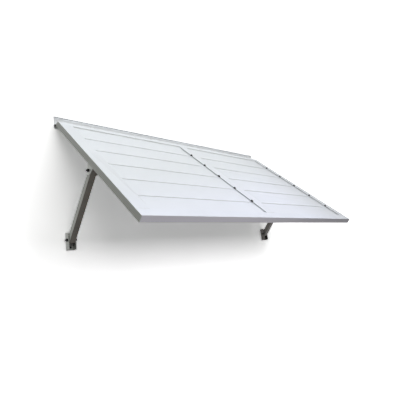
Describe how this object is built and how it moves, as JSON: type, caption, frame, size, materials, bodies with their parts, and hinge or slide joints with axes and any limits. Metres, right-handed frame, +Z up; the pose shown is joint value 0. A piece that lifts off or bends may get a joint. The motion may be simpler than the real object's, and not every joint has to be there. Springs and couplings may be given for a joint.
{
  "type": "metal awning",
  "caption": "Sloped sheet-metal window awning: slatted canopy hinged on a wall rail, braced from below by square tube arms on U-shaped wall brackets.",
  "frame": {"origin": "centre of the wall rail's back face, on the wall plane", "axes": "+X along the wall to the viewer's right when facing it, +Y into the wall, +Z up; the canopy slopes down and out along -Y"},
  "size_m": [1.6296, 0.6899, 0.71],
  "materials": {
    "white_coated_aluminium": "satin bluish white coating",
    "slat_sheet": "satin bluish white coating",
    "fascia_sheet": "satin bluish white coating",
    "arm_tube": "mill finish, slightly dull",
    "bracket_steel": "dull galvanised",
    "seal_rubber": "matt grey",
    "dark_fastener": "blackened"
  },
  "bodies": {
    "rail": {"wall_rail": "white_coated_aluminium", "rail_seal": "seal_rubber", "rail_screw_1": "dark_fastener", "rail_screw_2": "dark_fastener", "rail_screw_3": "dark_fastener", "rail_screw_4": "dark_fastener", "hinge_end_screw_left": "dark_fastener", "hinge_end_screw_right": "dark_fastener"},
    "canopy": {"hinge_bar": "white_coated_aluminium", "left_side_channel": "white_coated_aluminium", "right_side_channel": "white_coated_aluminium", "centre_rafter": "white_coated_aluminium", "front_fascia": "fascia_sheet", "left_slat_1": "slat_sheet", "left_slat_2": "slat_sheet", "left_slat_3": "slat_sheet", "left_slat_4": "slat_sheet", "left_slat_5": "slat_sheet", "left_slat_6": "slat_sheet", "right_slat_1": "slat_sheet", "right_slat_2": "slat_sheet", "right_slat_3": "slat_sheet", "right_slat_4": "slat_sheet", "right_slat_5": "slat_sheet", "right_slat_6": "slat_sheet", "left_slat_screw_1": "dark_fastener", "left_slat_screw_2": "dark_fastener", "left_slat_screw_3": "dark_fastener", "left_slat_screw_4": "dark_fastener", "left_slat_screw_5": "dark_fastener", "right_slat_screw_1": "dark_fastener", "right_slat_screw_2": "dark_fastener", "right_slat_screw_3": "dark_fastener", "right_slat_screw_4": "dark_fastener", "right_slat_screw_5": "dark_fastener", "left_clevis": "bracket_steel", "left_clevis_screw_1": "dark_fastener", "left_clevis_screw_2": "dark_fastener", "left_upper_bolt": "dark_fastener", "left_upper_nut": "dark_fastener", "right_clevis": "bracket_steel", "right_clevis_screw_1": "dark_fastener", "right_clevis_screw_2": "dark_fastener", "right_upper_bolt": "dark_fastener", "right_upper_nut": "dark_fastener"},
    "left_arm": {"left_arm_tube": "arm_tube"},
    "left_bracket": {"left_wall_bracket": "bracket_steel", "left_lower_bolt": "dark_fastener", "left_lower_nut": "dark_fastener", "left_bracket_screw_1": "dark_fastener", "left_bracket_screw_2": "dark_fastener"},
    "right_arm": {"right_arm_tube": "arm_tube"},
    "right_bracket": {"right_wall_bracket": "bracket_steel", "right_lower_bolt": "dark_fastener", "right_lower_nut": "dark_fastener", "right_bracket_screw_1": "dark_fastener", "right_bracket_screw_2": "dark_fastener"}
  },
  "joints": [
    {"name": "canopy_hinge", "type": "hinge", "parent": "rail", "child": "canopy", "pos_m": [0, -0.0145, -0.021], "axis": [-1, 0, 0], "range_deg": [0, 60]},
    {"name": "left_arm_fold", "type": "hinge", "parent": "canopy", "child": "left_arm", "pos_m": [-0.7705, -0.29473, -0.35426], "axis": [-1, 0, 0], "range_deg": [0, 80]},
    {"name": "left_bracket_turn", "type": "hinge", "parent": "left_arm", "child": "left_bracket", "pos_m": [-0.7705, -0.026, -0.61867], "axis": [-1, 0, 0], "range_deg": [-40, 90]},
    {"name": "right_arm_fold", "type": "hinge", "parent": "canopy", "child": "right_arm", "pos_m": [0.7705, -0.29473, -0.35426], "axis": [-1, 0, 0], "range_deg": [0, 80]},
    {"name": "right_bracket_turn", "type": "hinge", "parent": "right_arm", "child": "right_bracket", "pos_m": [0.7705, -0.026, -0.61867], "axis": [-1, 0, 0], "range_deg": [-40, 90]}
  ]
}
